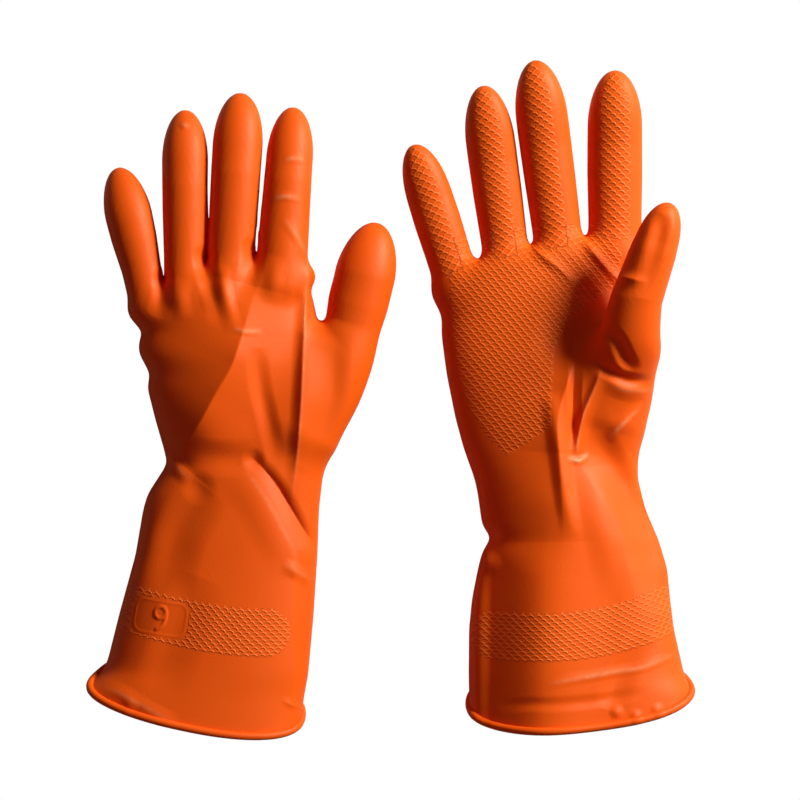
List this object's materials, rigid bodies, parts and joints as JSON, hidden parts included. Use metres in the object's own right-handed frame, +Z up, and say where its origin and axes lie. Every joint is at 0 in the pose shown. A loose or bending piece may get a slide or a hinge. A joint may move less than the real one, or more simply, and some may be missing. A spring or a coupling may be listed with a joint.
{
  "type": "rubber gloves",
  "caption": "Pair of household rubber gloves laid flat: one palm down, one palm up, with flared gauntlets, rolled cuff beads and flexing fingers.",
  "frame": {"origin": "on the surface that the pair lies on, under the middle of the pair's bounding box", "axes": "+Y from the cuffs towards the fingertips, +X from the left glove to the right glove, +Z up off the surface"},
  "size_m": [0.281, 0.3118, 0.0609],
  "materials": {
    "film": "dipped latex film, smooth and semi-matt, with a raised diamond grip on palms, finger fronts and cuffs",
    "bead": "rolled edge of the same latex film, semi-matt"
  },
  "bodies": {
    "left_gauntlet": {"left_cuff_bead": "bead", "left_gauntlet": "film"},
    "left_hand": {"left_hand": "film"},
    "left_thumb_base": {"left_thumb_base": "film"},
    "left_thumb_tip": {"left_thumb_tip": "film"},
    "left_index_base": {"left_index_base": "film"},
    "left_index_tip": {"left_index_tip": "film"},
    "left_middle_base": {"left_middle_base": "film"},
    "left_middle_tip": {"left_middle_tip": "film"},
    "left_ring_base": {"left_ring_base": "film"},
    "left_ring_tip": {"left_ring_tip": "film"},
    "left_little_base": {"left_little_base": "film"},
    "left_little_tip": {"left_little_tip": "film"},
    "right_gauntlet": {"right_cuff_bead": "bead", "right_gauntlet": "film"},
    "right_hand": {"right_hand": "film"},
    "right_thumb_base": {"right_thumb_base": "film"},
    "right_thumb_tip": {"right_thumb_tip": "film"},
    "right_index_base": {"right_index_base": "film"},
    "right_index_tip": {"right_index_tip": "film"},
    "right_middle_base": {"right_middle_base": "film"},
    "right_middle_tip": {"right_middle_tip": "film"},
    "right_ring_base": {"right_ring_base": "film"},
    "right_ring_tip": {"right_ring_tip": "film"},
    "right_little_base": {"right_little_base": "film"},
    "right_little_tip": {"right_little_tip": "film"}
  },
  "joints": [
    {"name": "left_wrist_fold", "type": "hinge", "parent": "left_gauntlet", "child": "left_hand", "pos_m": [-0.06612, -0.02959, 0.0335], "axis": [1, 0, 0], "range_deg": [0, 50], "stiffness_Nm_per_rad": 0.03},
    {"name": "left_thumb_root_bend", "type": "hinge", "parent": "left_hand", "child": "left_thumb_base", "pos_m": [-0.01765, 0.03472, 0.02513], "axis": [0.9724, -0.2334, 0], "range_deg": [0, 45], "stiffness_Nm_per_rad": 0.01},
    {"name": "left_thumb_tip_bend", "type": "hinge", "parent": "left_thumb_base", "child": "left_thumb_tip", "pos_m": [-0.01207, 0.05794, 0.02509], "axis": [0.9724, -0.2334, 0], "range_deg": [0, 50], "stiffness_Nm_per_rad": 0.008},
    {"name": "left_index_root_bend", "type": "hinge", "parent": "left_hand", "child": "left_index_base", "pos_m": [-0.05008, 0.07088, 0.02597], "axis": [0.9968, -0.0802, 0], "range_deg": [0, 60], "stiffness_Nm_per_rad": 0.01},
    {"name": "left_index_tip_bend", "type": "hinge", "parent": "left_index_base", "child": "left_index_tip", "pos_m": [-0.04753, 0.10255, 0.02507], "axis": [0.9968, -0.0802, 0], "range_deg": [0, 55], "stiffness_Nm_per_rad": 0.008},
    {"name": "left_middle_root_bend", "type": "hinge", "parent": "left_hand", "child": "left_middle_base", "pos_m": [-0.07389, 0.07089, 0.02612], "axis": [0.9982, -0.0593, 0], "range_deg": [0, 60], "stiffness_Nm_per_rad": 0.01},
    {"name": "left_middle_tip_bend", "type": "hinge", "parent": "left_middle_base", "child": "left_middle_tip", "pos_m": [-0.07181, 0.10599, 0.02506], "axis": [0.9982, -0.0593, 0], "range_deg": [0, 55], "stiffness_Nm_per_rad": 0.008},
    {"name": "left_ring_root_bend", "type": "hinge", "parent": "left_hand", "child": "left_ring_base", "pos_m": [-0.09492, 0.06684, 0.02479], "axis": [1, 0, 0], "range_deg": [0, 60], "stiffness_Nm_per_rad": 0.01},
    {"name": "left_ring_tip_bend", "type": "hinge", "parent": "left_ring_base", "child": "left_ring_tip", "pos_m": [-0.09492, 0.09965, 0.02378], "axis": [1, 0, 0], "range_deg": [0, 55], "stiffness_Nm_per_rad": 0.008},
    {"name": "left_little_root_bend", "type": "hinge", "parent": "left_hand", "child": "left_little_base", "pos_m": [-0.11492, 0.06083, 0.02371], "axis": [0.9744, 0.225, 0], "range_deg": [0, 60], "stiffness_Nm_per_rad": 0.01},
    {"name": "left_little_tip_bend", "type": "hinge", "parent": "left_little_base", "child": "left_little_tip", "pos_m": [-0.12023, 0.08383, 0.02318], "axis": [0.9744, 0.225, 0], "range_deg": [0, 55], "stiffness_Nm_per_rad": 0.008},
    {"name": "right_glove_lift", "type": "slide", "parent": "left_gauntlet", "child": "right_gauntlet", "axis": [0, 0, 1], "range_m": [0, 0.12]},
    {"name": "right_wrist_fold", "type": "hinge", "parent": "right_gauntlet", "child": "right_hand", "pos_m": [0.07688, -0.03759, 0.0335], "axis": [0.9994, 0.0349, 0], "range_deg": [0, 50], "stiffness_Nm_per_rad": 0.03},
    {"name": "right_thumb_root_bend", "type": "hinge", "parent": "right_hand", "child": "right_thumb_base", "pos_m": [0.11176, 0.04386, 0.05643], "axis": [0.9659, -0.2588, 0], "range_deg": [0, 45], "stiffness_Nm_per_rad": 0.01},
    {"name": "right_thumb_tip_bend", "type": "hinge", "parent": "right_thumb_base", "child": "right_thumb_tip", "pos_m": [0.11762, 0.06572, 0.06062], "axis": [0.9659, -0.2588, 0], "range_deg": [0, 50], "stiffness_Nm_per_rad": 0.008},
    {"name": "right_index_root_bend", "type": "hinge", "parent": "right_hand", "child": "right_index_base", "pos_m": [0.10318, 0.08397, 0.02243], "axis": [1, 0.0087, 0], "range_deg": [0, 60], "stiffness_Nm_per_rad": 0.01},
    {"name": "right_index_tip_bend", "type": "hinge", "parent": "right_index_base", "child": "right_index_tip", "pos_m": [0.10291, 0.11586, 0.02482], "axis": [1, 0.0087, 0], "range_deg": [0, 55], "stiffness_Nm_per_rad": 0.008},
    {"name": "right_middle_root_bend", "type": "hinge", "parent": "right_hand", "child": "right_middle_base", "pos_m": [0.07594, 0.07946, 0.02257], "axis": [0.9919, 0.1271, 0], "range_deg": [0, 60], "stiffness_Nm_per_rad": 0.01},
    {"name": "right_middle_tip_bend", "type": "hinge", "parent": "right_middle_base", "child": "right_middle_tip", "pos_m": [0.0713, 0.11563, 0.02522], "axis": [0.9919, 0.1271, 0], "range_deg": [0, 55], "stiffness_Nm_per_rad": 0.008},
    {"name": "right_ring_root_bend", "type": "hinge", "parent": "right_hand", "child": "right_ring_base", "pos_m": [0.05234, 0.07501, 0.02129], "axis": [0.9903, 0.1392, 0], "range_deg": [0, 60], "stiffness_Nm_per_rad": 0.01},
    {"name": "right_ring_tip_bend", "type": "hinge", "parent": "right_ring_base", "child": "right_ring_tip", "pos_m": [0.04772, 0.10783, 0.0237], "axis": [0.9903, 0.1392, 0], "range_deg": [0, 55], "stiffness_Nm_per_rad": 0.008},
    {"name": "right_little_root_bend", "type": "hinge", "parent": "right_hand", "child": "right_little_base", "pos_m": [0.0268, 0.06802, 0.02072], "axis": [0.9527, 0.304, 0], "range_deg": [0, 60], "stiffness_Nm_per_rad": 0.01},
    {"name": "right_little_tip_bend", "type": "hinge", "parent": "right_little_base", "child": "right_little_tip", "pos_m": [0.01935, 0.09139, 0.02267], "axis": [0.9527, 0.304, 0], "range_deg": [0, 55], "stiffness_Nm_per_rad": 0.008}
  ]
}
